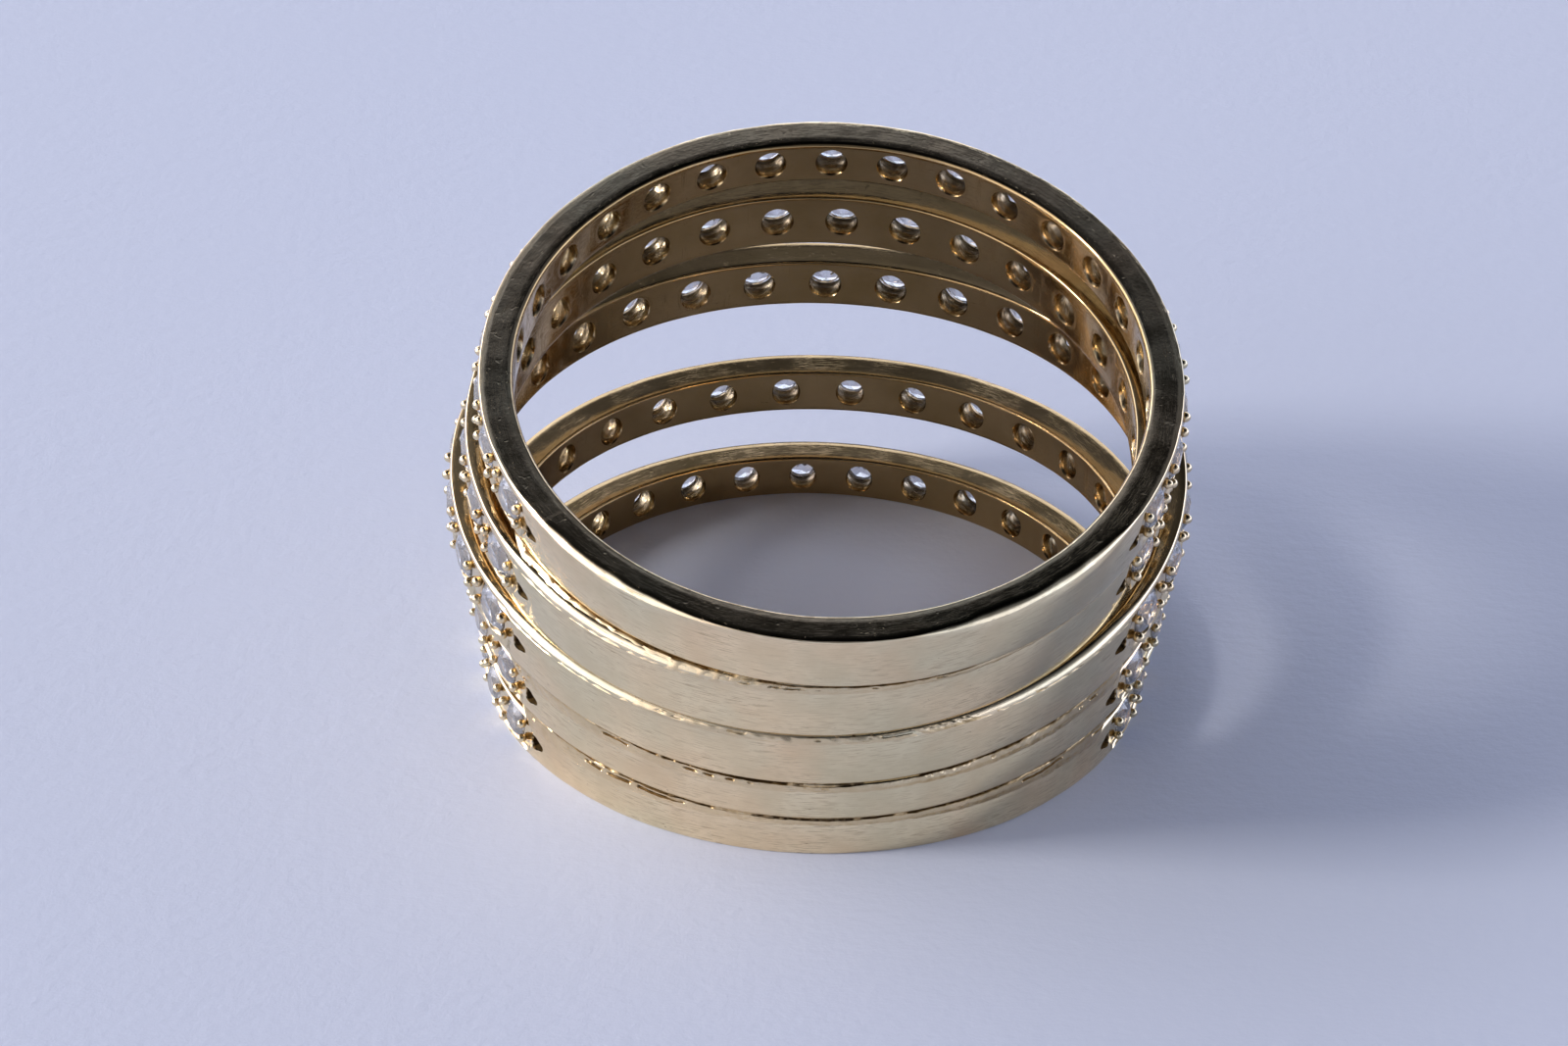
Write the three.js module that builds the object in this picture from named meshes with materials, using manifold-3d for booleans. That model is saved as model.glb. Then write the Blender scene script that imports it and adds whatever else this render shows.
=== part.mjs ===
// Ring made of five narrow bands.
// The bands are soldered to each other along the plain back and fan apart towards the front.
// Millimetres, +Z up. The ring lies on the edge of its lowest band.
// -Y is the plain back, +Y is the fanned front, the finger passage runs along Z.

import * as THREE from 'three';
import { mergeVertices } from 'three/addons/utils/BufferGeometryUtils.js';
import Module from 'manifold-3d';

// ---------------------------------------------------------------- named sizes
const WALL = 1.0;              // radial thickness of every band
const EDGE = 0.13;             // bevel on the four long edges of a band
const STEPS = 64;              // sections around a band
const ROUND = 1.002;           // depth of a band over its width (bands are all but round)

// One row per band, lowest first.
//   outerRadius  outside radius of the band
//   backWidth    height of the band at the plain back
//   frontWidth   height of the band at the front
//   tilt         degrees, front of the band lifted about the back
//   roll         degrees, +X side of the band lifted
//   sideLift     how far the two sides bow upwards out of the band's plane
//   shiftX       sideways set of the band
//   stepY        set of the band's back against the band below it
//   keep         part of the height that stays in the band's plane while its width changes:
//                0 the underside, 0.5 the middle line, 1 the top face
const BANDS = [
  { name: 'band_5', outerRadius: 9.46,  backWidth: 1.25, frontWidth: 1.30, tilt: 0.0,  roll: 0.0,  sideLift: 0.00, shiftX: 0.00,  stepY: 0.00,  keep: 0 },
  { name: 'band_4', outerRadius: 9.88,  backWidth: 1.22, frontWidth: 1.40, tilt: 4.2,  roll: 0.4,  sideLift: 0.42, shiftX: 0.06,  stepY: -0.08, keep: 0.5 },
  { name: 'band_3', outerRadius: 10.40, backWidth: 1.80, frontWidth: 1.62, tilt: 9.4,  roll: 0.3,  sideLift: 0.64, shiftX: 0.00,  stepY: 0.00,  keep: 0.5 },
  { name: 'band_2', outerRadius: 9.82,  backWidth: 2.02, frontWidth: 1.86, tilt: 14.2, roll: 0.3,  sideLift: 0.06, shiftX: -0.06, stepY: 0.03,  keep: 0.5 },
  { name: 'band_1', outerRadius: 9.74,  backWidth: 1.86, frontWidth: 1.46, tilt: 15.3, roll: -0.7, sideLift: 0.00, shiftX: 0.26,  stepY: 0.03,  keep: 1 },
];

// Solder seams between neighbours, lowest first: how many band sections the seam covers on each
// side of the back, and how far it lies below the outer and inner faces of the bands.
const SEAMS = [
  { name: 'seam_45', sections: 10, outerRecess: 0.16, innerRecess: 0.14 },
  { name: 'seam_34', sections: 10, outerRecess: 0.16, innerRecess: 0.14 },
  { name: 'seam_23', sections: 11, outerRecess: 0.15, innerRecess: 0.14 },
  { name: 'seam_12', sections: 11, outerRecess: 0.14, innerRecess: 0.14 },
];
const SEAM_BITE = 0.35;        // how far a seam reaches into each band

const GOLD = { color: 0xd9bd86, roughness: 0.24, metalness: 1.0 };

// ---------------------------------------------------------------- band frames
// Each band starts on top of the one below it, at the outer edge of the plain back.
const rad = THREE.MathUtils.degToRad;

function bandFrames() {
  const frames = [];
  let back = new THREE.Vector3(0, -BANDS[0].outerRadius * ROUND, 0);
  for (const band of BANDS) {
    const a = rad(band.tilt), b = rad(band.roll);
    const forward = new THREE.Vector3(0, Math.cos(a), Math.sin(a));
    const roughSide = new THREE.Vector3(Math.cos(b), 0, Math.sin(b));
    const up = new THREE.Vector3().crossVectors(roughSide, forward).normalize();
    const side = new THREE.Vector3().crossVectors(forward, up).normalize();
    back = back.clone().addScaledVector(forward, band.stepY);
    frames.push({ band, back: back.clone(), forward, side, up });
    back = back.clone().addScaledVector(up, band.backWidth);
  }
  return frames;
}

// Point of a band: angle from the back, depth below the outer face, fraction of the height.
function bandPoint(frame, angle, depth, fraction) {
  const { band, back, forward, side, up } = frame;
  const towardsFront = (1 - Math.cos(angle)) / 2;
  const width = band.backWidth + (band.frontWidth - band.backWidth) * towardsFront;
  // the lowest band stays flat underneath and the highest flat on top
  const base = (band.backWidth - width) * band.keep;
  const lift = base + fraction * width + band.sideLift * Math.sin(angle) ** 2;
  const r = band.outerRadius;
  return back.clone()
    .addScaledVector(forward, r * ROUND - (r * ROUND - depth) * Math.cos(angle))
    .addScaledVector(side, (r - depth) * Math.sin(angle))
    .addScaledVector(up, lift)
    .add(new THREE.Vector3(band.shiftX, 0, 0));
}

// ---------------------------------------------------------------- geometry helpers
function weld(geometry) {
  const g = geometry.index ? geometry : geometry.clone();
  g.deleteAttribute('normal');
  g.deleteAttribute('uv');
  return mergeVertices(g, 1e-4);
}

// A closed ring section revolved by LatheGeometry, then every vertex is set on its band.
function bandGeometry(frame) {
  const r = frame.band.outerRadius;
  const e = EDGE, f = EDGE / frame.band.backWidth;
  const section = [
    [r - WALL + e, 0], [r - e, 0], [r, f], [r, 1 - f], [r - e, 1], [r - WALL + e, 1],
    [r - WALL, 1 - f], [r - WALL, f], [r - WALL + e, 0],
  ].map(([x, y]) => new THREE.Vector2(x, y));
  const lathe = new THREE.LatheGeometry(section, STEPS);
  const p = lathe.attributes.position;
  for (let i = 0; i < p.count; i++) {
    const x = p.getX(i), y = p.getY(i), z = p.getZ(i);
    const q = bandPoint(frame, Math.atan2(x, z), r - Math.hypot(x, z), y);
    p.setXYZ(i, q.x, q.y, q.z);
  }
  return weld(lathe);
}

// A block bent along the back between two neighbouring bands.
function seamGeometry(lower, upper, seam) {
  const block = new THREE.BoxGeometry(2, 1, 1, 2 * seam.sections, 1, 1);
  const p = block.attributes.position;
  const biteLow = 1 - SEAM_BITE / lower.band.backWidth, biteUp = SEAM_BITE / upper.band.backWidth;
  for (let i = 0; i < p.count; i++) {
    const angle = (seam.sections / STEPS) * 2 * Math.PI * p.getX(i);
    const depth = p.getZ(i) > 0 ? seam.outerRecess : WALL - seam.innerRecess;
    const q = p.getY(i) > 0
      ? bandPoint(upper, angle, depth, biteUp)
      : bandPoint(lower, angle, depth, biteLow);
    p.setXYZ(i, q.x, q.y, q.z);
  }
  return weld(block);
}

const wasm = await Module();
wasm.setup();

function toSolid(geometry) {
  const vertProperties = new Float32Array(geometry.attributes.position.array);
  const triVerts = new Uint32Array(geometry.index.array);
  let volume = 0;
  const v = (i) => new THREE.Vector3().fromArray(vertProperties, 3 * i);
  for (let i = 0; i < triVerts.length; i += 3) {
    volume += v(triVerts[i]).dot(v(triVerts[i + 1]).cross(v(triVerts[i + 2]))) / 6;
  }
  if (volume < 0) {                       // faces must point outwards
    for (let i = 0; i < triVerts.length; i += 3) {
      [triVerts[i + 1], triVerts[i + 2]] = [triVerts[i + 2], triVerts[i + 1]];
    }
  }
  const mesh = new wasm.Mesh({ numProp: 3, vertProperties, triVerts });
  mesh.merge();
  return new wasm.Manifold(mesh);
}

function toGeometry(solid) {
  const m = solid.getMesh();
  const n = m.vertProperties.length / m.numProp;
  const pos = new Float32Array(n * 3);
  for (let i = 0; i < n; i++) {
    for (let k = 0; k < 3; k++) pos[3 * i + k] = m.vertProperties[i * m.numProp + k];
  }
  const g = new THREE.BufferGeometry();
  g.setAttribute('position', new THREE.BufferAttribute(pos, 3));
  g.setIndex(new THREE.BufferAttribute(new Uint32Array(m.triVerts), 1));
  return g;
}

// ---------------------------------------------------------------- the ring
const frames = bandFrames();
let solid = toSolid(bandGeometry(frames[0]));
for (let k = 1; k < frames.length; k++) {
  solid = solid.add(toSolid(bandGeometry(frames[k])));
  solid = solid.add(toSolid(seamGeometry(frames[k - 1], frames[k], SEAMS[k - 1])));
}

const geometry = toGeometry(solid);
geometry.computeBoundingBox();
const box = geometry.boundingBox;
// origin: middle of the plan, on the surface that the ring lies on
geometry.translate(-(box.min.x + box.max.x) / 2, -(box.min.y + box.max.y) / 2, -box.min.z);
geometry.computeVertexNormals();

const ring = new THREE.Mesh(geometry, new THREE.MeshStandardMaterial(GOLD));
ring.name = 'ring_bands';

const group = new THREE.Group();
group.add(ring);

export default group;
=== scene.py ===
import bpy
import math
import numpy as np
from mathutils import Matrix


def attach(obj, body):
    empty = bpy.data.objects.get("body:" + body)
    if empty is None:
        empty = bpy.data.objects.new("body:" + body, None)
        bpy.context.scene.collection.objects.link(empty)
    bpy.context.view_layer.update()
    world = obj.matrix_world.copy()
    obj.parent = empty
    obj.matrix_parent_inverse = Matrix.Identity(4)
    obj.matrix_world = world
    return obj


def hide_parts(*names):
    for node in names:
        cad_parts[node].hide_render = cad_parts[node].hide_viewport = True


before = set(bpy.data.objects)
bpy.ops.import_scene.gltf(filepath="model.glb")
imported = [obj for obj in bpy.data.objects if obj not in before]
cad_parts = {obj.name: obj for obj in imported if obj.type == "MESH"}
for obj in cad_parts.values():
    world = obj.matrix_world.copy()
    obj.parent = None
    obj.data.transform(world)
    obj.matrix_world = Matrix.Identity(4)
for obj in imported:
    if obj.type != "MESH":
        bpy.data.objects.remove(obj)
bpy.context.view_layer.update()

MM = 0.001
RNG = np.random.RandomState(7)

# ------------------------------------------------------------------ the bands
# Five narrow bands, lowest first, soldered along the plain back (-Y) and fanned at the front (+Y).
WALL = 1.0
ROUND = 1.002
BANDS = [
    dict(r=9.46, back=1.25, front=1.30, tilt=0.0, roll=0.0, lift=0.00, sx=0.00, sy=0.00, keep=0.0),
    dict(r=9.88, back=1.22, front=1.40, tilt=4.2, roll=0.4, lift=0.42, sx=0.06, sy=-0.08, keep=0.5),
    dict(r=10.40, back=1.80, front=1.62, tilt=9.4, roll=0.3, lift=0.64, sx=0.00, sy=0.00, keep=0.5),
    dict(r=9.82, back=2.02, front=1.86, tilt=14.2, roll=0.3, lift=0.06, sx=-0.06, sy=0.03, keep=0.5),
    dict(r=9.74, back=1.86, front=1.46, tilt=15.3, roll=-0.7, lift=0.00, sx=0.26, sy=0.03, keep=1.0),
]
SHIFT = np.array([0.01645, -0.02194, 0.0])      # band 5's axis in the part's frame

# Stone rows, lowest band first: first and last stone (degrees from the back), number, diameter.
ROWS = [
    dict(first=68.4, last=297.4, n=21, bow=0.0, dia=1.15, grain=0.124, gy=0.25, hole=0.40),
    dict(first=64.8, last=298.4, n=20, bow=-1.0, dia=1.15, grain=0.125, gy=0.26, hole=0.42),
    dict(first=62.6, last=300.2, n=21, bow=-2.0, dia=1.34, grain=0.142, gy=0.31, hole=0.48),
    dict(first=67.3, last=297.3, n=20, bow=0.0, dia=1.36, grain=0.145, gy=0.32, hole=0.48),
    dict(first=66.7, last=296.2, n=21, bow=-0.8, dia=1.30, grain=0.140, gy=0.30, hole=0.46),
]
JOINED = 61.9                                  # half arc of the soldered back, degrees


def borders(k):
    """Angles between which the stones of a row sit, one more than the stones."""
    row = ROWS[k]
    n = row["n"]
    p = (row["last"] - row["first"]) / (n - 1)
    i = np.arange(n + 1)
    return row["first"] + (i - 0.5) * p + row["bow"] * np.sin(math.pi * i / n)


def smooth(a, b, x):
    t = np.clip((np.asarray(x, float) - a) / (b - a), 0, 1)
    return t * t * (3 - 2 * t)


def wave(seed, x, terms, lo, hi):
    """Sum of sines of x (degrees round the ring), between about -1 and 1."""
    rs = np.random.RandomState(seed)
    out = np.zeros_like(np.asarray(x, float))
    for _ in range(terms):
        f = rs.randint(lo, hi)
        out = out + np.sin(np.radians(x) * f + rs.uniform(0, 6.28)) * rs.uniform(0.4, 1.0)
    return out / terms * 1.6


def frames():
    out = []
    back = np.array([0.0, -BANDS[0]["r"] * ROUND, 0.0])
    for b in BANDS:
        a, r = math.radians(b["tilt"]), math.radians(b["roll"])
        fwd = np.array([0.0, math.cos(a), math.sin(a)])
        up = np.cross(np.array([math.cos(r), 0.0, math.sin(r)]), fwd)
        up /= np.linalg.norm(up)
        side = np.cross(fwd, up)
        side /= np.linalg.norm(side)
        back = back + fwd * b["sy"]
        out.append((b, back.copy(), fwd, side, up))
        back = back + up * b["back"]
    return out


FR = frames()


def width(k, T):
    b = BANDS[k]
    return b["back"] + (b["front"] - b["back"]) * (1 - np.cos(T)) / 2


def place(k, T, depth, z):
    """Point of band k: T radians from the back, depth mm below the outer face, z mm above the underside."""
    b, back, fwd, side, up = FR[k]
    T, depth, z = np.broadcast_arrays(np.asarray(T, float), np.asarray(depth, float), np.asarray(z, float))
    w = width(k, T)
    lift = (b["back"] - w) * b["keep"] + z + b["lift"] * np.sin(T) ** 2
    r = b["r"]
    deg = np.degrees(T)
    # hand work: the bands are a little wavy
    wob = 0.012 * wave(10 + k, deg, 5, 3, 14) + 0.005 * wave(40 + k, deg, 6, 20, 60)
    d = depth - wob
    P = back + (r * ROUND - (r * ROUND - d) * np.cos(T))[..., None] * fwd
    P = P + ((r - d) * np.sin(T))[..., None] * side + lift[..., None] * up
    P[..., 0] += b["sx"]
    return P + SHIFT


# ------------------------------------------------------------------ mesh helper
class Builder:
    def __init__(self):
        self.v, self.f, self.dirt, self.uv, self.n = [], [], [], [], 0

    def add(self, P, dirt, uv):
        P = np.asarray(P, float).reshape(-1, 3)
        i = self.n
        self.v.append(P)
        self.dirt.append(np.broadcast_to(np.asarray(dirt, float).ravel() if np.ndim(dirt) else float(dirt), (len(P),)))
        self.uv.append(np.asarray(uv, float).reshape(-1, 2))
        self.n += len(P)
        return i + np.arange(len(P))

    def quads(self, a, b, c, d):
        self.f.append(np.stack([np.ravel(a), np.ravel(b), np.ravel(c), np.ravel(d)], 1))

    def finish(self, name, sharp=38.0, weld=2e-6):
        V = np.concatenate(self.v) * MM
        F = np.concatenate(self.f)
        D = np.concatenate(self.dirt)
        UV = np.concatenate(self.uv)
        # weld
        key = np.round(V / weld).astype(np.int64)
        _, idx, inv = np.unique(key, axis=0, return_index=True, return_inverse=True)
        inv = inv.ravel()
        F = inv[F]
        V, D, UV = V[idx], D[idx], UV[idx]
        faces = []
        for q in F:
            p = [int(q[0])]
            for x in q[1:]:
                if int(x) != p[-1]:
                    p.append(int(x))
            if len(p) > 1 and p[-1] == p[0]:
                p.pop()
            if len(set(p)) == len(p) and len(p) >= 3:
                faces.append(p)
        me = bpy.data.meshes.new(name)
        me.from_pydata(V.tolist(), [], faces)
        me.validate()
        me.update()
        at = me.attributes.new("dirt", "FLOAT", "POINT")
        at.data.foreach_set("value", D.astype(np.float32))
        au = me.attributes.new("along", "FLOAT2", "POINT")
        au.data.foreach_set("vector", UV.astype(np.float32).ravel())
        me.shade_smooth()
        me.set_sharp_from_angle(angle=math.radians(sharp))
        ob = bpy.data.objects.new(name, me)
        bpy.context.scene.collection.objects.link(ob)
        return ob


# ------------------------------------------------------------------ one band
NY = 12           # intervals over the height of the outer and inner faces
NX = 14           # intervals along one stone cell


def corner_sizes(k, deg):
    """Bevels of the four long edges, as functions of the angle: outer top, outer bottom, inner top, inner bottom."""
    deg = (np.asarray(deg, float) + 180) % 360 - 180
    joined = 1 - smooth(50, 66, np.abs(deg))
    if k == 4:
        ot = 0.085 + 0.020 * wave(3, deg, 6, 5, 30) + 0.012 * wave(5, deg, 6, 40, 120)
        ot = ot + 0.20 * smooth(-66, -46, deg) * (1 - smooth(-34, -14, deg)) * (1 + 0.25 * wave(6, deg, 5, 12, 60))
        ot = ot + 0.22 * smooth(10, 28, deg) * (1 - smooth(44, 60, deg)) * (1 + 0.25 * wave(7, deg, 5, 12, 60))
        it = 0.15 + 0.012 * wave(4, deg, 6, 5, 30)
    else:
        ot = 0.10 + 0.17 * joined + 0.015 * wave(20 + k, deg, 6, 5, 30) * joined
        it = 0.09 + 0.0 * deg
    ob = 0.075 + 0.02 * joined + 0.010 * wave(30 + k, deg, 6, 5, 30)
    ib = 0.09 + 0.0 * deg
    return np.clip(ot, 0.075, 0.37), np.clip(ob, 0.05, 0.2), np.clip(it, 0.05, 0.2), ib


def channel(k, deg, z, w):
    """Cut depth of the stone row below the outer face."""
    row = ROWS[k]
    lo, hi = row["first"], row["last"]
    d = np.asarray(deg, float) % 360
    ang = math.degrees(1.0 / BANDS[k]["r"])
    inside = smooth(lo - 8.2, lo - 4.5, d) * (1 - smooth(hi + 4.5, hi + 8.2, d))
    half = row["dia"] / 2 + 0.03
    taper = np.minimum(smooth(lo - 8.2, lo - 4.0, d), 1 - smooth(hi + 4.0, hi + 8.2, d))
    half = half * (0.25 + 0.75 * taper)
    y = np.abs(z - w / 2)
    return 0.10 * inside * (1 - smooth(half - 0.10, half + 0.02, y))


def face_dirt(k, deg, z, w):
    d = (np.asarray(deg, float) + 180) % 360 - 180
    joined = 1 - smooth(56, 70, np.abs(d))
    low = np.exp(-np.abs(z) / 0.06) * (0 if k == 0 else 1)
    top = np.exp(-np.abs(w - z) / 0.05) * (0 if k == 4 else 1)
    return np.clip(joined * (0.38 * low + 0.12 * top), 0, 1)


def build_band(k):
    b, row = BANDS[k], ROWS[k]
    B = Builder()
    edges = borders(k)
    cells = []
    half_pit = 2.8
    cells.append(("pit", edges[0] - half_pit, half_pit, 8))
    for i in range(row["n"]):
        cells.append(("stone", (edges[i] + edges[i + 1]) / 2, (edges[i + 1] - edges[i]) / 2, NX))
    cells.append(("pit", edges[-1] + half_pit, half_pit, 8))
    # angles of all sections, degrees, from the end of the last cell round the back to the first
    start = cells[-1][1] + half_pit - 360.0
    stop = cells[0][1] - half_pit
    plain = np.linspace(start, stop, int((stop - start) / 0.9) + 1)
    angles = list(plain)
    spans = []
    for kind, c, h, nx in cells:
        a = np.linspace(c - h, c + h, nx + 1)
        spans.append((kind, c, h, nx, len(angles) - 1))
        angles.extend(a[1:])
    angles = np.array(angles)                   # the last one equals start + 360
    nT = len(angles) - 1
    deg = angles[:nT]
    T = np.radians(deg)
    w = width(k, T)
    ot, ob_, it, ib = corner_sizes(k, deg)
    r = b["r"]
    jo = np.linspace(0, 1, NY + 1)

    def outer_pt(dg, z, ww, z0, z1):
        t = np.clip((z - z0) / (z1 - z0), 0, 1)
        crown = 0.035 * (2 * t - 1) ** 2
        return crown + channel(k, dg, z, ww)

    # cross-section loop: (depth, z, dirt) for every section
    loop_d, loop_z, loop_s, loop_q = [], [], [], []

    def put(d, z, s, q):
        loop_d.append(d * np.ones(nT)); loop_z.append(z * np.ones(nT)); loop_s.append(s * np.ones(nT)); loop_q.append(q * np.ones(nT))

    for j in range(NY + 1):                      # outer face, going up
        z = ob_ + (w - ot - ob_) * jo[j]
        put(outer_pt(deg, z, w, ob_, w - ot), z, face_dirt(k, deg, z, w), z)
    nOut = len(loop_d)
    for j in range(1, 5):                        # outer top edge
        a = j / 4 * math.pi / 2
        e = 0.035
        # nearly flat bevel with rounded ends
        d = e + (ot - e) * (0.55 * (1 - math.cos(a)) + 0.45 * (j / 4))
        z = w - ot + ot * (0.55 * math.sin(a) + 0.45 * (j / 4))
        put(d, z, face_dirt(k, deg, z, w) * 0.8, z)
    for j in range(1, 4):                        # top face
        d = ot + (WALL - it - ot) * j / 4
        put(d, w, 0.0 * w, w + d)
    for j in range(0, 4):                        # inner top edge
        a = j / 4 * math.pi / 2
        put(WALL - it + it * math.sin(a), w - it * (1 - math.cos(a)), 0.0 * w, w + WALL)
    nIn0 = len(loop_d)
    for j in range(NY + 1):                      # inner face, going down
        z = w - it + (ib - w + it) * jo[j]
        put(WALL + 0.0 * w, z, 0.05 + 0.0 * w, w + WALL + w - z)
    nIn1 = len(loop_d)
    for j in range(1, 5):
        a = j / 4 * math.pi / 2
        put(WALL - ib * (1 - math.cos(a)), ib * (1 - math.sin(a)), 0.0 * w, -WALL)
    for j in range(1, 4):                        # underside
        put(WALL - ib + (ob_ - WALL + ib) * j / 4, 0.0 * w, 0.0 * w, -0.5)
    for j in range(0, 4):                        # outer bottom edge
        a = j / 4 * math.pi / 2
        put(ob_ - (ob_ - 0.035) * math.sin(a), ob_ * (1 - math.cos(a)), face_dirt(k, deg, 0 * w, w) * 0.8, 0.0 * w)
    D, Z, S, Q = map(np.array, (loop_d, loop_z, loop_s, loop_q))
    nL = len(D)
    P = place(k, T[None, :] * np.ones((nL, 1)), D, Z)
    ids = B.add(P, S, np.stack([deg[None, :] * np.ones((nL, 1)) * math.pi / 180 * r, Q], -1)).reshape(nL, nT)
    # which (loop strip, section) faces are kept
    keep = np.ones((nL, nT), bool)
    for kind, c, h, nx, i0 in spans:
        cols = [(i0 + m) % nT for m in range(nx)]
        for m in cols:
            keep[0:NY, m] = False
            if kind == "stone":
                keep[nIn0:nIn0 + NY, m] = False
    for l in range(nL):
        l2 = (l + 1) % nL
        c = np.where(keep[l])[0]
        c2 = (c + 1) % nT
        B.quads(ids[l, c], ids[l, c2], ids[l2, c2], ids[l2, c])

    # cells
    for kind, c, h, nx, i0 in spans:
        hx = math.radians(h) * r
        # boundary of the cell on the outer face, anticlockwise seen from outside: bottom, right, top, left
        cols = [(i0 + m) % nT for m in range(nx + 1)]
        ring_idx = [ids[0, m] for m in cols[:-1]] + [ids[j, cols[-1]] for j in range(NY)]
        ring_idx += [ids[NY, m] for m in cols[:0:-1]] + [ids[j, cols[0]] for j in range(NY, 0, -1)]
        A = np.array([-1 + 2 * m / nx for m in range(nx)] + [1.0] * NY + [1 - 2 * m / nx for m in range(nx)] + [-1.0] * NY)
        Bb = np.array([-1.0] * nx + [-1 + 2 * j / NY for j in range(NY)] + [1.0] * nx + [1 - 2 * j / NY for j in range(NY)])
        N = len(A)

        def zlim(dg):
            ww = width(k, np.radians(dg))
            o1, o2, i1, i2 = corner_sizes(k, dg)
            return ww, o1, o2, i1, i2

        def outer(a, bb):
            dg = c + a * h
            ww, o1, o2, i1, i2 = zlim(dg)
            z0, z1 = o2, ww - o1
            z = z0 + (z1 - z0) * (bb + 1) / 2
            return dg, z, ww, z0, z1

        wc, o1, o2, i1, i2 = [float(x) for x in zlim(np.array(c))]
        mid = wc / 2
        hy = (wc - o1 - o2) / 2
        zc = o2 + hy
        phys = np.stack([A * hx, Bb * hy], 1)
        phi = np.arctan2(phys[:, 1], phys[:, 0])
        off = (mid - zc)                          # the row sits on the band's middle line

        def circle(rad, sx=1.0):
            return rad * np.cos(phi) * sx / hx, (rad * np.sin(phi) + off) / hy

        rs = row["dia"] / 2
        if kind == "stone":
            r_edge = min(rs + 0.035, hx - 0.03, hy - 0.02)
            prev = np.array(ring_idx)
            rings = [0.25, 0.5, 0.72, 0.88, 1.0]
            ca, cb = circle(r_edge)
            for s in rings:
                a, bb = A + (ca - A) * s, Bb + (cb - Bb) * s
                dg, z, ww, z0, z1 = outer(a, bb)
                d = outer_pt(dg, z, ww, z0, z1)
                if s == 1.0:
                    d = np.maximum(d, 0.05)
                dirt = face_dirt(k, dg, z, ww) + 0.18 * smooth(0.7, 1.0, s)
                cur = B.add(place(k, np.radians(dg), d, z), dirt, np.stack([np.radians(dg) * r, z], -1))
                B.quads(prev, np.roll(prev, -1), np.roll(cur, -1), cur)
                prev = cur
            d_edge = d
            prof = [(rs + 0.012, 0.12, 0.30), (rs - 0.015, 0.20, 0.30), (rs - 0.10, 0.28, 0.25), ((rs + row["hole"]) / 2 - 0.02, 0.42, 0.25),
                    (row["hole"] + 0.02, 0.56, 0.30), (row["hole"], 0.62, 0.35), (row["hole"], 0.93, 0.25), (row["hole"] + 0.05, WALL, 0.15)]
            for rad, dep, dr in prof:
                a, bb = circle(rad)
                dg, z, ww, z0, z1 = outer(a, bb)
                dd = np.maximum(dep, d_edge + 0.02) if dep < 0.2 else dep + 0 * z
                cur = B.add(place(k, np.radians(dg), dd, z), dr, np.stack([np.radians(dg) * r, z + dep], -1))
                B.quads(prev, np.roll(prev, -1), np.roll(cur, -1), cur)
                prev = cur
            # inner face: rings out to the boundary
            inner_idx = [ids[nIn1 - 1, m] for m in cols[:-1]] + [ids[nIn1 - 1 - j, cols[-1]] for j in range(NY)]
            inner_idx += [ids[nIn0, m] for m in cols[:0:-1]] + [ids[nIn1 - 1 - j, cols[0]] for j in range(NY, 0, -1)]
            ia, iz = circle(row["hole"] + 0.05)
            dgi = c + ia * h
            zi = outer(ia, iz)[1]
            # targets on the inner boundary
            dgb = c + A * h
            wb, ob1, ob2, ib1, ib2 = zlim(dgb)
            zb = ib2 + (wb - ib1 - ib2) * (Bb + 1) / 2
            for s in (0.2, 0.5, 0.8):
                dg = dgi + (dgb - dgi) * s
                z = zi + (zb - zi) * s
                cur = B.add(place(k, np.radians(dg), WALL, z), 0.08, np.stack([np.radians(dg) * r, z + 3], -1))
                B.quads(prev, np.roll(prev, -1), np.roll(cur, -1), cur)
                prev = cur
            cur = np.array(inner_idx)
            B.quads(prev, np.roll(prev, -1), np.roll(cur, -1), cur)
        else:
            # graver's end mark: a three-sided notch, its point away from the stones
            prev = np.array(ring_idx)
            away = -1.0 if c < 180 else 1.0            # towards the plain back

            def notch(q):
                rr = q * (0.205 + 0.035 * np.cos(3 * phi) * away)
                return (rr * np.cos(phi) * 1.4 - away * 0.05) / hx, (rr * np.sin(phi) + off) / hy

            ca, cb = notch(1.0)
            for s in (0.4, 0.75, 1.0):
                a, bb = A + (ca - A) * s, Bb + (cb - Bb) * s
                dg, z, ww, z0, z1 = outer(a, bb)
                d = outer_pt(dg, z, ww, z0, z1)
                cur = B.add(place(k, np.radians(dg), d, z), face_dirt(k, dg, z, ww), np.stack([np.radians(dg) * r, z], -1))
                B.quads(prev, np.roll(prev, -1), np.roll(cur, -1), cur)
                prev = cur
            base = d
            for q, dep, dr in ((0.90, 0.08, 1.4), (0.72, 0.24, 1.6), (0.30, 0.36, 1.6)):
                a, bb = notch(q)
                dg, z, ww, z0, z1 = outer(a, bb)
                cur = B.add(place(k, np.radians(dg), base + dep, z), dr, np.stack([np.radians(dg) * r, z], -1))
                B.quads(prev, np.roll(prev, -1), np.roll(cur, -1), cur)
                prev = cur
            ca, cb = notch(0.0)
            dg, z, ww, z0, z1 = outer(ca[:1], cb[:1])
            ci = B.add(place(k, np.radians(dg), np.array([0.40]), z), 1.6, [[0.0, 0.0]])
            B.quads(prev, np.roll(prev, -1), np.full(N, ci[0]), np.full(N, ci[0]))
    return B.finish("band_%d" % (5 - k), sharp=47)


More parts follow.
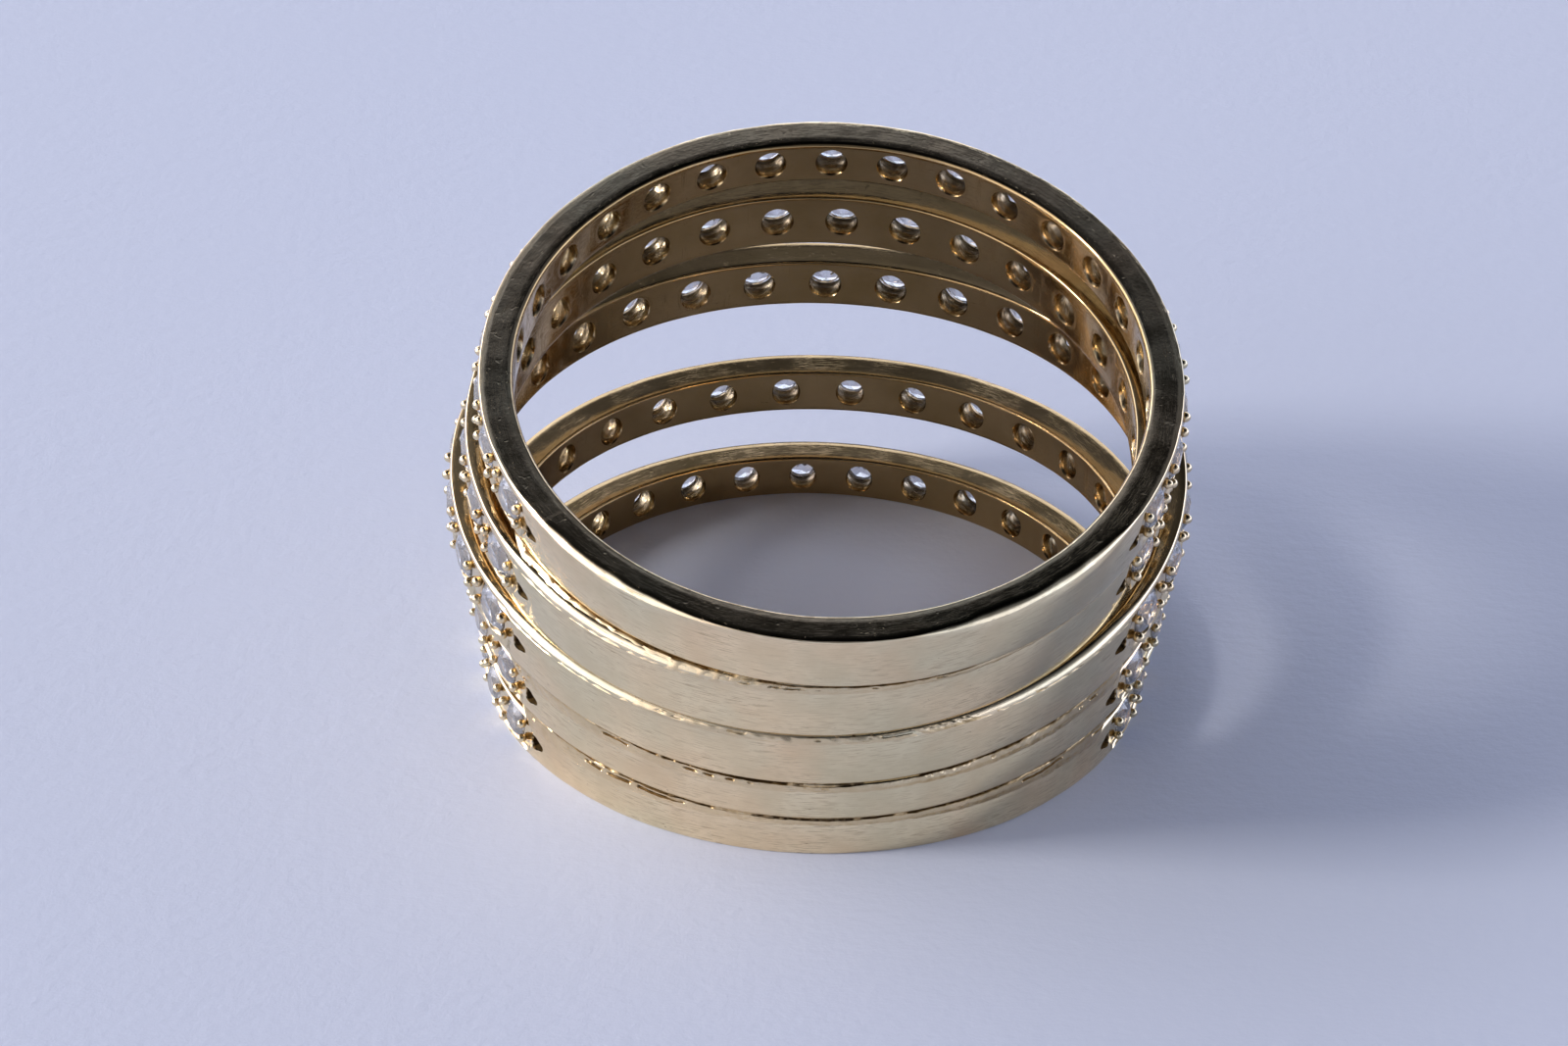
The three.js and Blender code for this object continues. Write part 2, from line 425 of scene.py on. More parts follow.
# ------------------------------------------------------------------ solder seams
def build_seam(k):
    """Solder between band k and the band above it: an uneven fillet, deepest under the upper band, cracked in places."""
    B = Builder()
    n = 1000
    deg = np.linspace(-JOINED, JOINED, n)
    T = np.radians(deg)
    wl = width(k, T)
    sd = 60 + 7 * k
    ad = np.abs(deg)
    low = 0.27
    gap = np.linalg.norm(place(k + 1, T, 0, 0) - place(k, T, 0, wl), axis=1)
    deep = 0.125 + 0.035 * wave(sd, deg, 6, 6, 30) + 0.014 * wave(sd + 1, deg, 7, 40, 110)
    deep = deep + 0.09 * smooth(12, 46, ad)
    if k == 1:                                    # smeared nearly flush in the middle
        deep = deep - 0.085 * np.exp(-((deg - 2) / 7.0) ** 2)
    if k == 0:
        deep = deep - 0.07 * np.exp(-(deg / 12.0) ** 2)
    deep = np.clip(deep, 0.03, 0.26)
    sink = 0.22 * smooth(56, JOINED - 0.3, ad)
    c1 = smooth(-0.80, -0.10, wave(sd + 2, deg, 7, 5, 40) + 0.5 * wave(sd + 5, deg, 5, 50, 160))
    c1 = np.maximum(c1, 0.8 * smooth(36, 50, ad))
    c2 = smooth(0.12, 0.50, wave(sd + 3, deg, 6, 4, 34) + 0.3 * wave(sd + 8, deg, 5, 50, 160))
    if k == 3:
        c1 = np.maximum(c1, 0.75 * smooth(-14, 2, deg))
    if k == 1:
        c1 = c1 * (1 - 0.9 * np.exp(-((deg - 2) / 6.0) ** 2))
    if k == 0:
        c1 = c1 * (1 - 0.6 * np.exp(-(deg / 9.0) ** 2))
    span = low + gap
    power = 1.9 - 0.72 * smooth(16, 32, -deg) * (1 - smooth(52, 60, -deg)) * (0.75 + 0.25 * wave(sd + 10, deg, 5, 8, 36))
    rough = smooth(6, 22, deg) * (1 - smooth(52, 60, deg)) * (0.7 if k == 3 else 1.0) * (0.6 + 0.4 * wave(sd + 9, deg, 5, 8, 40))
    u1 = 1 - (0.045 + 0.020 * wave(sd + 6, deg, 6, 8, 60)) / span
    u2 = 0.50 + 0.07 * wave(sd + 7, deg, 6, 8, 60)
    cols = []                                     # (kind, where, depth, dirt)

    def slope(u):
        lump = sum(np.sin(T * f + 6.28 * q + 3.0 * u) for f, q in ((23, .1), (61, .5), (97, .8), (151, .3))) * 0.0045
        grit = sum(np.sin(T * f + q + g * u) for f, q, g in ((211, 1.1, 9), (307, 4.2, -13), (173, 2.3, 21), (397, 0.4, 17))) * 0.0042 * rough * smooth(0.12, 0.35, u)
        return 0.028 + (deep - 0.028) * u ** power + lump + grit + sink

    cols.append(("low", 0.47, 0.55 + 0 * T, 0 * T))
    cols.append(("low", 0.34, 0.22 + 0 * T, 0 * T))
    cols.append(("mid", 0 * T, slope(0.0), 0 * T))
    for u in (0.10, 0.20, 0.30):
        cols.append(("mid", u + 0 * T, slope(u), 0.10 + 0.30 * np.clip(rough, 0, 1)))
    for off, part in ((-0.055, 0), (-0.026, 0.8), (0, 1), (0.026, 0.8), (0.055, 0)):
        u = u2 + off / span
        cols.append(("mid", u, slope(u) + part * 0.09 * c2, 0.10 + 1.0 * part * c2))
    mid = (u2 + u1) / 2
    cols.append(("mid", mid, slope(mid), 0.26 + 0.30 * np.clip(rough, 0, 1)))
    wide = 1.15 + 0.55 * wave(sd + 11, deg, 6, 8, 40)
    for off, part in ((-0.125, 0.10), (-0.070, 0.80), (0, 1), (0.026, 0.90)):
        u = u1 + off * (wide if off < 0 else 1.0) / span
        cols.append(("mid", u, slope(u) + part * 0.15 * c1, 0.30 + 1.2 * part * c1))
    cols.append(("mid", 1 + 0 * T, slope(1.0) + 0.01, 0.45 * c1))
    cols.append(("up", 0.05, np.maximum(slope(1.0), 0.10) + 0.03, 0.4 + 0 * T))
    cols.append(("up", 0.14, 0.30 + 0 * T, 0.3 + 0 * T))
    cols.append(("up", 0.42, 0.55 + 0 * T, 0 * T))
    inner = []
    rin = 0.12 + 0.03 * wave(sd + 4, deg, 6, 6, 30) + sink * 0.6
    for kind, where, dep in (("up", 0.42, 0.60), ("up", 0.16, 0.75), ("up", 0.02, None), ("mid", 0.5, None), ("low", 0.02, None), ("low", 0.16, 0.75), ("low", 0.42, 0.60)):
        inner.append((kind, where if kind != "mid" else where + 0 * T, (WALL - rin) if dep is None else dep + 0 * T, 0.5 + 0 * T))
    P, Dr, Y = [], [], []
    for kind, where, dep, dirt in cols + inner:
        if kind == "low":
            P.append(place(k, T, dep, wl - where)); Y.append(wl - where)
        elif kind == "up":
            P.append(place(k + 1, T, dep, where + 0 * T)); Y.append(wl + gap + where)
        else:
            a = place(k, T, dep, wl - low)
            c = place(k + 1, T, dep, 0 * T)
            P.append(a + (c - a) * np.asarray(where)[:, None]); Y.append(wl - low + where * span)
        Dr.append(dirt)
    P, Dr, Y = np.array(P), np.array(Dr), np.array(Y)
    nL = len(P)
    ids = B.add(P, Dr, np.stack([(T * BANDS[k]["r"])[None, :] + 0 * Y, Y], -1)).reshape(nL, n)
    for l in range(nL):
        l2 = (l + 1) % nL
        B.quads(ids[l, :-1], ids[l, 1:], ids[l2, 1:], ids[l2, :-1])
    for col, flip in ((0, False), (n - 1, True)):  # the two ends
        mid_pt = B.add(P[:, col].mean(0)[None], 0.5, [[0.0, 0.0]])[0]
        for l in range(nL):
            q = [ids[(l + 1) % nL, col], ids[l, col], mid_pt, mid_pt]
            if flip:
                q = [ids[l, col], ids[(l + 1) % nL, col], mid_pt, mid_pt]
            B.f.append(np.array([q]))
    return B.finish("solder_%d%d" % (5 - k, 4 - k), sharp=50)


# ------------------------------------------------------------------ grains
def unit_sphere(nu=12, nv=8):
    vs, fs = [[0, 0, 1.0]], []
    for i in range(1, nv):
        t = math.pi * i / nv
        for j in range(nu):
            p = 2 * math.pi * j / nu
            vs.append([math.sin(t) * math.cos(p), math.sin(t) * math.sin(p), math.cos(t)])
    vs.append([0, 0, -1.0])
    last = len(vs) - 1
    for j in range(nu):
        fs.append([0, 1 + j, 1 + (j + 1) % nu, 1 + (j + 1) % nu])
        b = 1 + (nv - 2) * nu
        fs.append([b + (j + 1) % nu, b + j, last, last])
    for i in range(nv - 2):
        for j in range(nu):
            a, c = 1 + i * nu + j, 1 + i * nu + (j + 1) % nu
            fs.append([a, a + nu, c + nu, c])
    return np.array(vs), np.array(fs)


def local_frame(k, deg, z):
    T = math.radians(deg)
    e = 1e-3
    p = place(k, np.array([T]), np.array([0.0]), np.array([z]))[0]
    pt = place(k, np.array([T + e]), np.array([0.0]), np.array([z]))[0]
    pz = place(k, np.array([T]), np.array([0.0]), np.array([z + 0.05]))[0]
    tx = pt - p
    tx /= np.linalg.norm(tx)
    tz = pz - p
    tz -= tx * (tz @ tx)
    tz /= np.linalg.norm(tz)
    out = np.cross(tx, tz)
    return p, tx, tz, out


def build_grains(k):
    row = ROWS[k]
    B = Builder()
    sv, sf = unit_sphere()
    rs = np.random.RandomState(200 + k)
    edges = borders(k)
    arc = math.radians(edges[1] - edges[0]) * BANDS[k]["r"]
    dx = max(0.15, arc / 2 - math.sqrt((row["dia"] / 2) ** 2 - row["gy"] ** 2) - row["grain"] * 0.72)
    for i in range(row["n"] + 1):
        deg = edges[i]
        for sx in (-1, 1):
            if (i == 0 and sx < 0) or (i == row["n"] and sx > 0):
                continue
            for sy in (-1, 1):
                ddeg = math.degrees((sx * dx + rs.uniform(-0.02, 0.02)) / BANDS[k]["r"])
                dg = deg + ddeg
                z = float(width(k, math.radians(dg))) / 2 + sy * (row["gy"] + rs.uniform(-0.015, 0.02))
                p, tx, tz, out = local_frame(k, dg, z)
                g = row["grain"] * rs.uniform(0.90, 1.10)
                hgt = g * rs.uniform(1.0, 1.2)
                q = p + out * rs.uniform(-0.02, 0.03)
                V = q + (sv[:, :1] * g * tx + sv[:, 1:2] * g * tz + sv[:, 2:3] * hgt * out)
                dirt = np.clip(0.15 - (sv[:, 2] - 0.1) * 0.9, 0, 0.9)
                ids = B.add(V, dirt, np.stack([sv[:, 0] + deg, sv[:, 1]], 1))
                B.f.append(ids[sf])
    return B.finish("grains_%d" % (5 - k), sharp=80, weld=1e-8)


# ------------------------------------------------------------------ brilliants
def unit_brilliant():
    """Round brilliant of diameter 1, girdle at z 0, table up. Flat facets."""
    V, F = [], []

    def ring(n, r, z, ph=0.0):
        i = len(V)
        for j in range(n):
            a = 2 * math.pi * (j + ph) / n
            V.append([r * math.cos(a), r * math.sin(a), z])
        return list(range(i, i + n))

    table = ring(8, 0.272, 0.158, 0.5)
    star = ring(8, 0.385, 0.100, 0.0)
    gt = ring(16, 0.5, 0.014, 0.0)
    gb = ring(16, 0.5, -0.014, 0.0)
    pav = ring(8, 0.27, -0.215, 0.5)
    V.append([0, 0, -0.43])
    cul = len(V) - 1
    F.append(table)
    for j in range(8):
        j2 = (j + 1) % 8
        # star facet between two table corners
        F.append([table[j], star[j2], table[j2]])
        # kite facet under table corner j, reaching the girdle between stars
        F.append([table[j], star[j], gt[2 * j + 1], star[j2]])
        # upper girdle facets
        F.append([star[j], gt[2 * j], gt[2 * j + 1]])
        F.append([star[j2], gt[2 * j + 1], gt[(2 * j + 2) % 16]])
    for j in range(16):
        j2 = (j + 1) % 16
        F.append([gt[j], gb[j], gb[j2], gt[j2]])
    for j in range(8):
        j2 = (j + 1) % 8
        # lower girdle facets
        F.append([gb[2 * j], pav[j], gb[2 * j + 1]])
        F.append([gb[2 * j + 1], pav[j], gb[(2 * j + 2) % 16]])
        # pavilion mains
        F.append([gb[(2 * j + 2) % 16], pav[j], cul, pav[j2]])
    return np.array(V), F


def build_stones(k):
    row = ROWS[k]
    V0, F0 = unit_brilliant()
    rs = np.random.RandomState(300 + k)
    edges = borders(k)
    V, F, base = [], [], 0
    for i in range(row["n"]):
        deg = (edges[i] + edges[i + 1]) / 2
        z = float(width(k, math.radians(deg))) / 2
        p, tx, tz, out = local_frame(k, deg, z)
        turn = rs.uniform(0, 6.28)
        tip = rs.uniform(-0.05, 0.05, 2)
        o = out + tx * tip[0] + tz * tip[1]
        o /= np.linalg.norm(o)
        a = tx * math.cos(turn) + tz * math.sin(turn)
        a -= o * (a @ o)
        a /= np.linalg.norm(a)
        b = np.cross(o, a)
        d = row["dia"]
        q = p - o * 0.135
        V.append(q + (V0[:, :1] * a + V0[:, 1:2] * b + V0[:, 2:3] * o) * d)
        F += [[x + base for x in f] for f in F0]
        base += len(V0)
    me = bpy.data.meshes.new("brilliants_%d" % (5 - k))
    me.from_pydata((np.concatenate(V) * MM).tolist(), [], F)
    me.validate()
    me.update()
    # outward faces
    me.calc_loop_triangles()
    vol = 0.0
    for t in me.loop_triangles:
        a, b_, c = (me.vertices[x].co for x in t.vertices)
        vol += a.dot(b_.cross(c))
    if vol < 0:
        me.flip_normals()
    ob = bpy.data.objects.new(me.name, me)
    bpy.context.scene.collection.objects.link(ob)
    return ob


# ------------------------------------------------------------------ materials
def nodes_of(name):
    m = bpy.data.materials.new(name)
    m.use_nodes = True
    nt = m.node_tree
    for n in list(nt.nodes):
        nt.nodes.remove(n)
    out = nt.nodes.new("ShaderNodeOutputMaterial")
    p = nt.nodes.new("ShaderNodeBsdfPrincipled")
    nt.links.new(p.outputs[0], out.inputs[0])
    return m, nt, p


def ramp(nt, source, stops, interp="LINEAR"):
    r = nt.nodes.new("ShaderNodeValToRGB")
    r.color_ramp.interpolation = interp
    e = r.color_ramp.elements
    while len(e) > len(stops):
        e.remove(e[-1])
    while len(e) < len(stops):
        e.new(0.5)
    for i, (pos, col) in enumerate(stops):
        e[i].position = pos
        e[i].color = (*col, 1) if len(col) == 3 else col
    nt.links.new(source, r.inputs[0])
    return r.outputs[0]


def noise(nt, vec, scale, detail=4.0, rough=0.55, dist=0.0):
    n = nt.nodes.new("ShaderNodeTexNoise")
    n.inputs["Scale"].default_value = scale
    n.inputs["Detail"].default_value = detail
    n.inputs["Roughness"].default_value = rough
    n.inputs["Distortion"].default_value = dist
    nt.links.new(vec, n.inputs["Vector"])
    return n.outputs["Fac"]


def mapping(nt, vec, scale, rot=(0, 0, 0), loc=(0, 0, 0)):
    m = nt.nodes.new("ShaderNodeMapping")
    m.inputs["Scale"].default_value = scale
    m.inputs["Rotation"].default_value = rot
    m.inputs["Location"].default_value = loc
    nt.links.new(vec, m.inputs["Vector"])
    return m.outputs[0]


def math_node(nt, op, a, b=None, clamp=False):
    n = nt.nodes.new("ShaderNodeMath")
    n.operation = op
    n.use_clamp = clamp
    for i, x in enumerate((a, b)):
        if x is None:
            continue
        if isinstance(x, (int, float)):
            n.inputs[i].default_value = x
        else:
            nt.links.new(x, n.inputs[i])
    return n.outputs[0]


def mix_col(nt, fac, a, b):
    n = nt.nodes.new("ShaderNodeMix")
    n.data_type = "RGBA"
    for sock, x in ((n.inputs[0], fac), (n.inputs[6], a), (n.inputs[7], b)):
        if isinstance(x, (tuple, list)):
            sock.default_value = (*x, 1)
        elif isinstance(x, (int, float)):
            sock.default_value = x
        else:
            nt.links.new(x, sock)
    return n.outputs[2]


def gold_material(name, light, dark, rough, tarnish, scratch=1.0):
    m, nt, p = nodes_of(name)
    tc = nt.nodes.new("ShaderNodeTexCoord")
    obj = tc.outputs["Object"]
    al = nt.nodes.new("ShaderNodeAttribute")
    al.attribute_name = "along"
    along = al.outputs["Vector"]
    di = nt.nodes.new("ShaderNodeAttribute")
    di.attribute_name = "dirt"
    dirt = di.outputs["Fac"]

    # colour: two tones of the alloy in soft patches, a few faint darker specks
    patch = noise(nt, obj, 260.0, 3.0, 0.5)
    col = mix_col(nt, ramp(nt, patch, [(0.40, (0, 0, 0)), (0.62, (1, 1, 1))]), light, dark)
    warm = noise(nt, mapping(nt, obj, (1, 1, 1), loc=(0.3, 0.1, 0.2)), 420.0, 2.0, 0.5)
    col = mix_col(nt, ramp(nt, warm, [(0.55, (0, 0, 0)), (0.75, (0.5, 0.5, 0.5))]), col, (0.93, 0.66, 0.40))
    # tarnish in grooves, seats and marks, broken up
    brk = noise(nt, obj, 5200.0, 2.0, 0.6)
    t = math_node(nt, "MULTIPLY", dirt, ramp(nt, brk, [(0.25, (0.55, 0.55, 0.55)), (0.62, (1.25, 1.25, 1.25))]))
    t = math_node(nt, "MULTIPLY", t, tarnish, clamp=True)
    col = mix_col(nt, ramp(nt, t, [(0.08, (0, 0, 0)), (0.42, (0.8, 0.8, 0.8))]), col, (0.60, 0.42, 0.20))
    col = mix_col(nt, ramp(nt, t, [(0.36, (0, 0, 0)), (0.88, (1, 1, 1))]), col, (0.075, 0.046, 0.022))
    # painted shade: faces turned in towards the ring's axis, and up-facing ledges below the top rim, are tinted the
    # deep brown below, mottled by the alloy patches; this stands in for the shade and dim reflections inside the ring
    geo = nt.nodes.new("ShaderNodeNewGeometry")
    sp = nt.nodes.new("ShaderNodeSeparateXYZ")
    nt.links.new(obj, sp.inputs[0])
    flat = nt.nodes.new("ShaderNodeCombineXYZ")
    nt.links.new(sp.outputs["X"], flat.inputs[0])
    nt.links.new(sp.outputs["Y"], flat.inputs[1])
    unit = nt.nodes.new("ShaderNodeVectorMath")
    unit.operation = "NORMALIZE"
    nt.links.new(flat.outputs[0], unit.inputs[0])
    dot = nt.nodes.new("ShaderNodeVectorMath")
    dot.operation = "DOT_PRODUCT"
    nt.links.new(unit.outputs[0], dot.inputs[0])
    nt.links.new(geo.outputs["Normal"], dot.inputs[1])
    inward = ramp(nt, math_node(nt, "MULTIPLY", dot.outputs["Value"], -1.0, clamp=True), [(0.25, (0, 0, 0)), (0.75, (1, 1, 1))])
    sn = nt.nodes.new("ShaderNodeSeparateXYZ")
    nt.links.new(geo.outputs["Normal"], sn.inputs[0])
    ledge = ramp(nt, sn.outputs["Z"], [(0.80, (0, 0, 0)), (0.93, (1, 1, 1))])
    below = math_node(nt, "SUBTRACT", sp.outputs["Z"], math_node(nt, "MULTIPLY", sp.outputs["Y"], 0.2736))
    lowz = ramp(nt, math_node(nt, "MULTIPLY", below, 80.0, clamp=True), [(0.800, (1, 1, 1)), (0.845, (0, 0, 0))])
    inside = math_node(nt, "MAXIMUM", inward, math_node(nt, "MULTIPLY", ledge, lowz))
    inside = math_node(nt, "MULTIPLY", inside, ramp(nt, patch, [(0.3, (0.78, 0.78, 0.78)), (0.7, (1, 1, 1))]))
    # painted shade colour for the ring's inside and its low ledges
    painted_inner_shade = mix_col(nt, patch, (0.41, 0.25, 0.088), (0.33, 0.225, 0.092))
    col = mix_col(nt, inside, col, painted_inner_shade)
    # hairline scratches in four directions, along the band's own surface
    lines = None
    for i, (ang, sc, thr) in enumerate(((0.10, 1.0, 0.675), (-0.55, 1.25, 0.70), (1.15, 0.9, 0.70), (-1.0, 1.6, 0.70))):
        v = mapping(nt, along, (1.3 * sc, 31.0 * sc, 1.0), rot=(0, 0, ang), loc=(3.1 * i, 1.7 * i, 0))
        n = noise(nt, v, 1.0, 1.0, 0.5, 0.0)
        l = ramp(nt, n, [(thr - 0.055, (0, 0, 0)), (thr - 0.015, (1, 1, 1))])
        lines = l if lines is None else math_node(nt, "MAXIMUM", lines, l)
    wear = noise(nt, obj, 700.0, 4.0, 0.6)
    wearm = ramp(nt, wear, [(0.40, (0.22, 0.22, 0.22)), (0.60, (1, 1, 1))])
    lines = math_node(nt, "MULTIPLY", lines, wearm)
    col = mix_col(nt, math_node(nt, "MULTIPLY", lines, 0.55), col, (0.40, 0.28, 0.15))
    nick = ramp(nt, noise(nt, mapping(nt, along, (2.6, 7.5, 1.0), rot=(0, 0, 0.7)), 1.0, 2.0, 0.55, 2.2), [(0.715, (0, 0, 0)), (0.745, (1, 1, 1))])
    nick = math_node(nt, "MULTIPLY", nick, wearm)
    col = mix_col(nt, math_node(nt, "MULTIPLY", nick, 0.75), col, (0.22, 0.15, 0.08))
    smear = ramp(nt, wear, [(0.34, (0.88, 0.865, 0.84)), (0.62, (1.0, 1.0, 1.0))])
    mul = nt.nodes.new("ShaderNodeMix")
    mul.data_type = "RGBA"
    mul.blend_type = "MULTIPLY"
    mul.inputs[0].default_value = 1.0
    nt.links.new(col, mul.inputs[6])
    nt.links.new(smear, mul.inputs[7])
    nt.links.new(mul.outputs[2], p.inputs["Base Color"])
    p.inputs["Metallic"].default_value = 1.0

    # roughness: polished, hazier where worn
    base = ramp(nt, wear, [(0.3, (rough, rough, rough)), (0.75, (rough + 0.07,) * 3)])
    r = math_node(nt, "ADD", base, math_node(nt, "MULTIPLY", lines, 0.10 * scratch))
    r = math_node(nt, "ADD", r, math_node(nt, "MULTIPLY", t, 0.30), clamp=True)
    nt.links.new(r, p.inputs["Roughness"])

    # relief: soft hand-worked ripple, pits and the scratches
    ripple = noise(nt, obj, 900.0, 1.0, 0.5)
    fine = noise(nt, obj, 9000.0, 1.0, 0.6)
    pit = ramp(nt, noise(nt, obj, 3600.0, 1.0, 0.5), [(0.24, (0, 0, 0)), (0.30, (1, 1, 1))])
    h = math_node(nt, "MULTIPLY", ripple, 1.0)
    h = math_node(nt, "ADD", h, math_node(nt, "MULTIPLY", fine, 0.10))
    h = math_node(nt, "SUBTRACT", h, math_node(nt, "MULTIPLY", lines, 0.07 * scratch))
    h = math_node(nt, "ADD", h, math_node(nt, "MULTIPLY", pit, 0.17))
    h = math_node(nt, "SUBTRACT", h, math_node(nt, "MULTIPLY", nick, 0.35))
    bump = nt.nodes.new("ShaderNodeBump")
    bump.inputs["Strength"].default_value = 0.5
    bump.inputs["Distance"].default_value = 0.00002
    nt.links.new(h, bump.inputs["Height"])
    nt.links.new(bump.outputs[0], p.inputs["Normal"])
    return m


def stone_material():
    m, nt, p = nodes_of("brilliant")
    tc = nt.nodes.new("ShaderNodeTexCoord")
    n = noise(nt, tc.outputs["Object"], 1500.0, 2.0)
    col = mix_col(nt, n, (0.78, 0.80, 0.85), (0.90, 0.91, 0.94))
    nt.links.new(col, p.inputs["Base Color"])
    p.inputs["Roughness"].default_value = 0.0
    p.inputs["IOR"].default_value = 1.8
    p.inputs["Transmission Weight"].default_value = 0.85
    return m


def floor_material():
    m, nt, p = nodes_of("paper")
    tc = nt.nodes.new("ShaderNodeTexCoord")
    obj = tc.outputs["Object"]
    big = noise(nt, obj, 14.0, 3.0)
    col = mix_col(nt, big, (0.712, 0.768, 0.940), (0.737, 0.791, 0.952))
    nt.links.new(col, p.inputs["Base Color"])
    p.inputs["Roughness"].default_value = 0.75
    p.inputs["Specular IOR Level"].default_value = 0.0
    grain = noise(nt, obj, 2600.0, 3.0, 0.65)
    fibre = noise(nt, mapping(nt, obj, (1.0, 2.4, 1.0), rot=(0, 0, 0.5)), 900.0, 3.0, 0.6)
    h = math_node(nt, "ADD", grain, fibre)
    bump = nt.nodes.new("ShaderNodeBump")
    bump.inputs["Strength"].default_value = 0.4
    bump.inputs["Distance"].default_value = 0.00004
    nt.links.new(h, bump.inputs["Height"])
    nt.links.new(bump.outputs[0], p.inputs["Normal"])
    return m


GOLD = gold_material("yellow_gold", (0.985, 0.796, 0.518), (0.880, 0.772, 0.518), 0.075, 1.0)
SOLDER = gold_material("solder_gold", (0.93, 0.745, 0.47), (0.81, 0.67, 0.43), 0.13, 1.1)
STONE = stone_material()
PAPER = floor_material()

# ------------------------------------------------------------------ camera, as the photo's
TGT = np.array([-0.93382, 1.65787, 3.451]) * MM
DIST, ELEV, ROLL, LENS = 0.15776, math.radians(33.530), math.radians(1.4605), 126.5055


def camera():
    ce, se = math.cos(ELEV), math.sin(ELEV)
    pos = TGT + DIST * np.array([0, -ce, se])
    right, up = np.array([1.0, 0, 0]), np.array([0, se, ce])
    back = np.array([0, -ce, se])
    c, s = math.cos(ROLL), math.sin(ROLL)
    r2, u2 = right * c + up * s, -right * s + up * c
    cam = bpy.data.cameras.new("camera")
    cam.lens = LENS
    cam.sensor_width = 36.0
    cam.sensor_fit = "HORIZONTAL"
    cam.clip_start, cam.clip_end = 0.004, 20.0
    ob = bpy.data.objects.new("camera", cam)
    M = Matrix.Identity(4)
    for i in range(3):
        M[i][0], M[i][1], M[i][2], M[i][3] = r2[i], u2[i], back[i], pos[i]
    ob.matrix_world = M
    bpy.context.scene.collection.objects.link(ob)
    bpy.context.scene.camera = ob


camera()

# ------------------------------------------------------------------ pieces
pieces = []
for k in range(5):
    ob = build_band(k)
    ob.data.materials.append(GOLD)
    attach(ob, "root")
    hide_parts("ring_bands")
    g = build_grains(k)
    g.data.materials.append(GOLD)
    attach(g, "root")
    s = build_stones(k)
    s.data.materials.append(STONE)
    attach(s, "root")
    pieces += [ob, g, s]
for k in range(4):
    ob = build_seam(k)
    ob.data.materials.append(SOLDER)
    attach(ob, "root")
    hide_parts("ring_bands")
    pieces.append(ob)

# ------------------------------------------------------------------ floor and light
me = bpy.data.meshes.new("floor")
S = 0.9
me.from_pydata([(-S, -S, 0), (S, -S, 0), (S, S, 0), (-S, S, 0)], [], [(0, 1, 2, 3)])
floor = bpy.data.objects.new("floor", me)
me.materials.append(PAPER)
bpy.context.scene.collection.objects.link(floor)


def area(name, loc, target, size, energy, color, size_y=None):
    l = bpy.data.lights.new(name, "AREA")
    l.shape = "RECTANGLE" if size_y else "SQUARE"
    l.size = size
    if size_y:
        l.size_y = size_y
    l.energy = energy
    l.color = color
    o = bpy.data.objects.new(name, l)
    o.location = loc
    d = np.array(target) - np.array(loc)
    from mathutils import Vector
    o.rotation_euler = Vector(d).to_track_quat("-Z", "Y").to_euler()
    bpy.context.scene.collection.objects.link(o)
    return o


area("key", (-0.80, -0.12, 0.38), (0, 0, 0), 0.20, 4.2, (1.0, 0.94, 0.87))
area("back_strip", (0.05, 1.20, 0.38), (0, 0, 0), 1.30, 2.5, (0.90, 0.96, 1.06), 0.42)

# the surround: bright pale walls to the left and right, dim ones before and behind, a dark opening overhead
world = bpy.data.worlds.new("world")
bpy.context.scene.world = world
world.use_nodes = True
wn = world.node_tree
bg = wn.nodes["Background"]
tc = wn.nodes.new("ShaderNodeTexCoord")
sep = wn.nodes.new("ShaderNodeSeparateXYZ")
wn.links.new(tc.outputs["Generated"], sep.inputs[0])


def grey(*stops):
    return [(x, (v, v, v)) for x, v in stops]


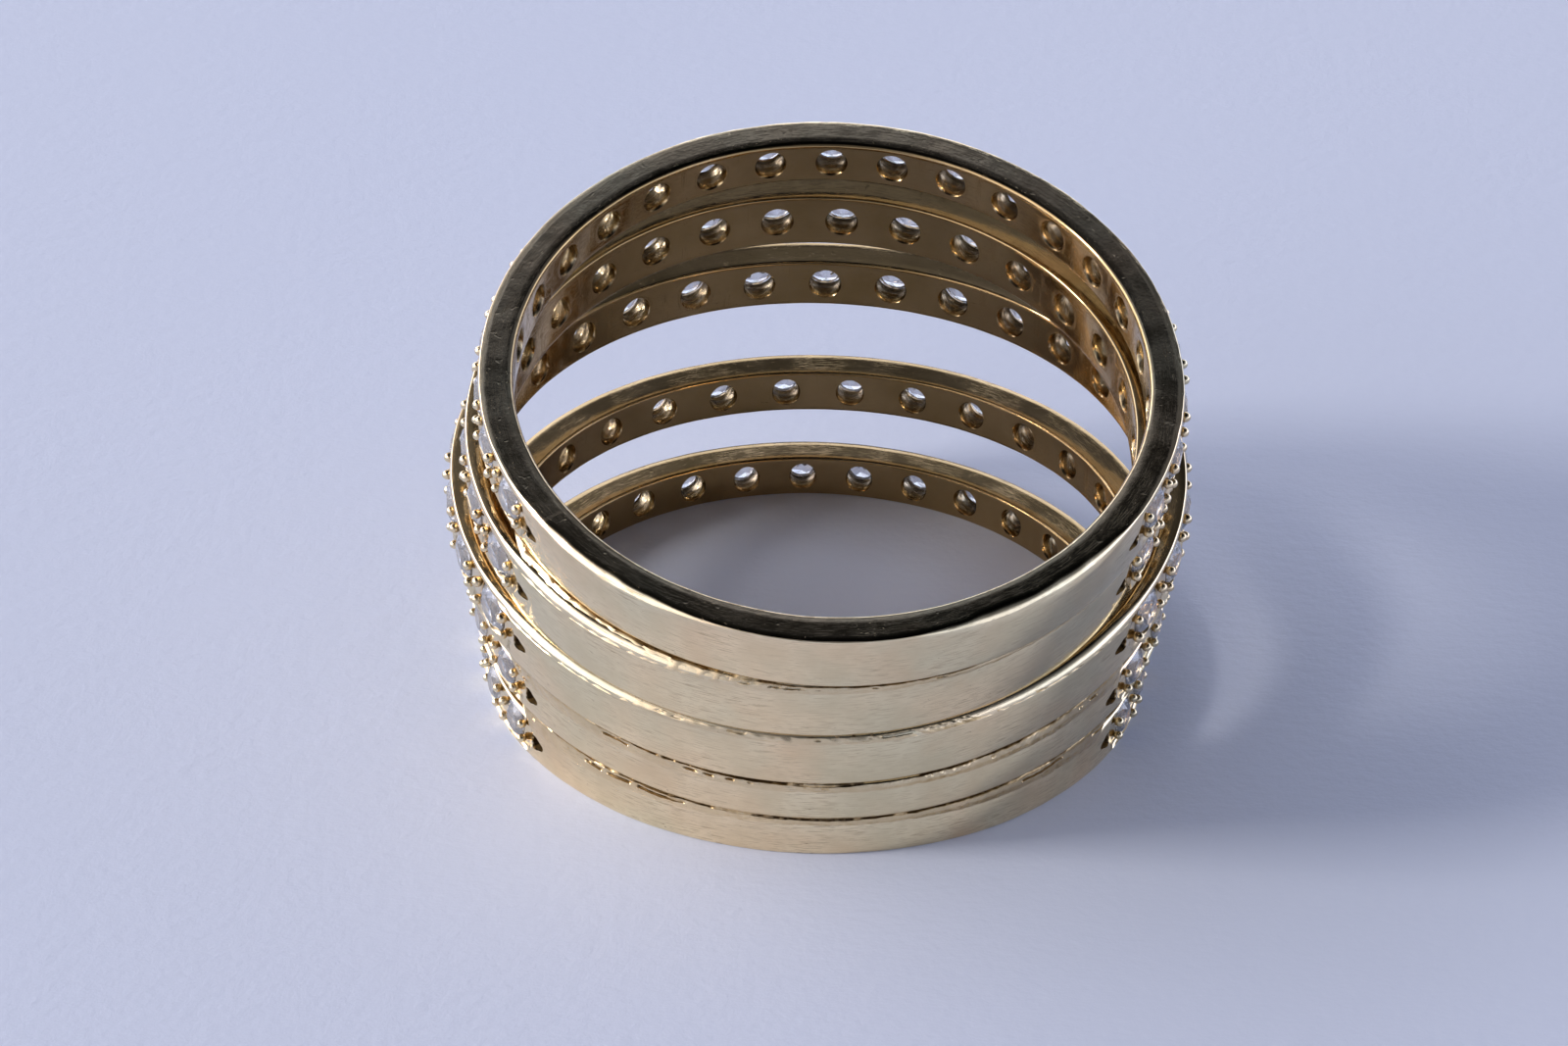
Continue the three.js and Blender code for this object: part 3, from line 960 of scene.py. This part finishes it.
up = ramp(wn, math_node(wn, "MULTIPLY", sep.outputs["Z"], 1.0, clamp=True),
          grey((0.0, 1.0), (0.44, 1.0), (0.58, 0.58), (0.68, 0.16), (0.78, 0.035), (0.90, 0.006)))
xx = math_node(wn, "ADD", math_node(wn, "MULTIPLY", sep.outputs["X"], 0.5), 0.5)
side = ramp(wn, xx, [(0.05, (1.18, 1.06, 0.90)), (0.17, (1.08, 0.97, 0.83)), (0.33, (0.31, 0.30, 0.28))]
            + grey((0.50, 0.08), (0.66, 0.24), (0.84, 0.74), (1.0, 0.74)))


def times(a, b):
    n = wn.nodes.new("ShaderNodeMix")
    n.data_type = "RGBA"
    n.blend_type = "MULTIPLY"
    n.inputs[0].default_value = 1.0
    wn.links.new(a, n.inputs[6])
    if isinstance(b, tuple):
        n.inputs[7].default_value = b
    else:
        wn.links.new(b, n.inputs[7])
    return n.outputs[2]


yy = math_node(wn, "ADD", math_node(wn, "MULTIPLY", sep.outputs["Y"], 0.5), 0.5)
fore = ramp(wn, yy, grey((0.05, 0.46), (0.33, 0.60), (0.50, 1.0), (1.0, 1.0)))
# a faint glow high up behind, which the uppermost rim mirrors
high = ramp(wn, math_node(wn, "MULTIPLY", sep.outputs["Z"], 1.0, clamp=True),
            grey((0.66, 0.0), (0.80, 0.065), (0.862, 0.070), (0.877, 0.014), (0.896, 0.003), (1.0, 0.0025)))
rear = ramp(wn, yy, grey((0.52, 0.0), (0.62, 1.0)))
# the right-hand wall ends low down
low_right = math_node(wn, "MULTIPLY",
                      ramp(wn, xx, grey((0.505, 0.0), (0.60, 1.0))),
                      ramp(wn, math_node(wn, "MULTIPLY", sep.outputs["Z"], 1.0, clamp=True), grey((0.24, 0.0), (0.44, 1.0))))
keep_right = ramp(wn, low_right, grey((0.0, 1.0), (1.0, 0.16)))
glow = wn.nodes.new("ShaderNodeMix")
glow.data_type = "RGBA"
glow.blend_type = "ADD"
glow.inputs[0].default_value = 1.0
wn.links.new(times(times(times(up, side), fore), keep_right), glow.inputs[6])
ends = ramp(wn, xx, grey((0.520, 1.0), (0.534, 0.35)))
wn.links.new(times(times(high, rear), ends), glow.inputs[7])
wn.links.new(times(glow.outputs[2], (0.88, 0.965, 1.25, 1)), bg.inputs[0])
bg.inputs[1].default_value = 3.42

bpy.context.scene.view_settings.view_transform = "Standard"
bpy.context.scene.view_settings.look = "None"
